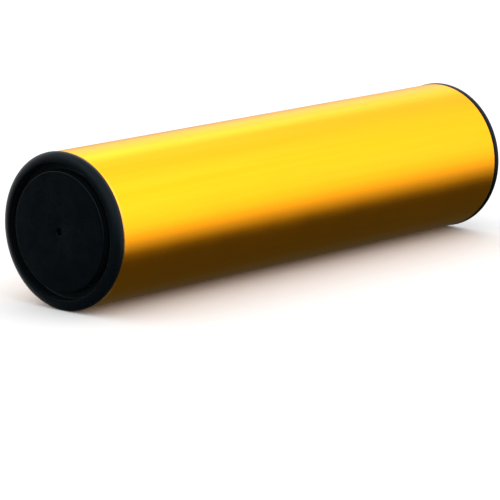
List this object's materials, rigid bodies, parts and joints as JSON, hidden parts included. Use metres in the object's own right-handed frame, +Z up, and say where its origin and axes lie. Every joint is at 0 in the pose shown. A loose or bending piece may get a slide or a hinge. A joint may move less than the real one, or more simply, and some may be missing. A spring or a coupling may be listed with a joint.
{
  "type": "ganza shaker",
  "caption": "Cylindrical hand shaker: a metal tube closed at each end by a rimmed rubber plug, with loose shot inside that slides from end to end.",
  "frame": {"origin": "middle of the tube, on its axis", "axes": "+X along the tube from the left cap to the right cap, +Z up as the shaker lies with its shot along the bottom of the bore"},
  "size_m": [0.2328, 0.0604, 0.0604],
  "materials": {
    "gold_anodised_tube": "satin gold anodised",
    "black_rubber": "fine matte moulding",
    "steel_shot": "dull bright steel"
  },
  "bodies": {
    "barrel": {"tube": "gold_anodised_tube", "left_cap": "black_rubber", "right_cap": "black_rubber"},
    "shot_row_a": {"shot_a01": "steel_shot", "shot_a02": "steel_shot", "shot_a03": "steel_shot", "shot_a04": "steel_shot", "shot_a05": "steel_shot", "shot_a06": "steel_shot", "shot_a07": "steel_shot", "shot_a08": "steel_shot", "shot_a09": "steel_shot", "shot_a10": "steel_shot"},
    "shot_row_b": {"shot_b01": "steel_shot", "shot_b02": "steel_shot", "shot_b03": "steel_shot", "shot_b04": "steel_shot", "shot_b05": "steel_shot", "shot_b06": "steel_shot", "shot_b07": "steel_shot", "shot_b08": "steel_shot", "shot_b09": "steel_shot", "shot_b10": "steel_shot"},
    "shot_row_c": {"shot_c01": "steel_shot", "shot_c02": "steel_shot", "shot_c03": "steel_shot", "shot_c04": "steel_shot", "shot_c05": "steel_shot", "shot_c06": "steel_shot", "shot_c07": "steel_shot", "shot_c08": "steel_shot", "shot_c09": "steel_shot", "shot_c10": "steel_shot"},
    "shot_row_d": {"shot_d01": "steel_shot", "shot_d02": "steel_shot", "shot_d03": "steel_shot", "shot_d04": "steel_shot", "shot_d05": "steel_shot", "shot_d06": "steel_shot", "shot_d07": "steel_shot", "shot_d08": "steel_shot", "shot_d09": "steel_shot", "shot_d10": "steel_shot"},
    "shot_row_e": {"shot_e01": "steel_shot", "shot_e02": "steel_shot", "shot_e03": "steel_shot", "shot_e04": "steel_shot", "shot_e05": "steel_shot", "shot_e06": "steel_shot", "shot_e07": "steel_shot", "shot_e08": "steel_shot", "shot_e09": "steel_shot", "shot_e10": "steel_shot"}
  },
  "joints": [
    {"name": "shot_row_a_slide", "type": "slide", "parent": "barrel", "child": "shot_row_a", "axis": [1, 0, 0], "range_m": [-0.069, 0.0658]},
    {"name": "shot_row_b_slide", "type": "slide", "parent": "barrel", "child": "shot_row_b", "axis": [1, 0, 0], "range_m": [-0.0658, 0.069]},
    {"name": "shot_row_c_slide", "type": "slide", "parent": "barrel", "child": "shot_row_c", "axis": [1, 0, 0], "range_m": [-0.069, 0.0658]},
    {"name": "shot_row_d_slide", "type": "slide", "parent": "barrel", "child": "shot_row_d", "axis": [1, 0, 0], "range_m": [-0.0658, 0.069]},
    {"name": "shot_row_e_slide", "type": "slide", "parent": "barrel", "child": "shot_row_e", "axis": [1, 0, 0], "range_m": [-0.069, 0.0658]}
  ]
}
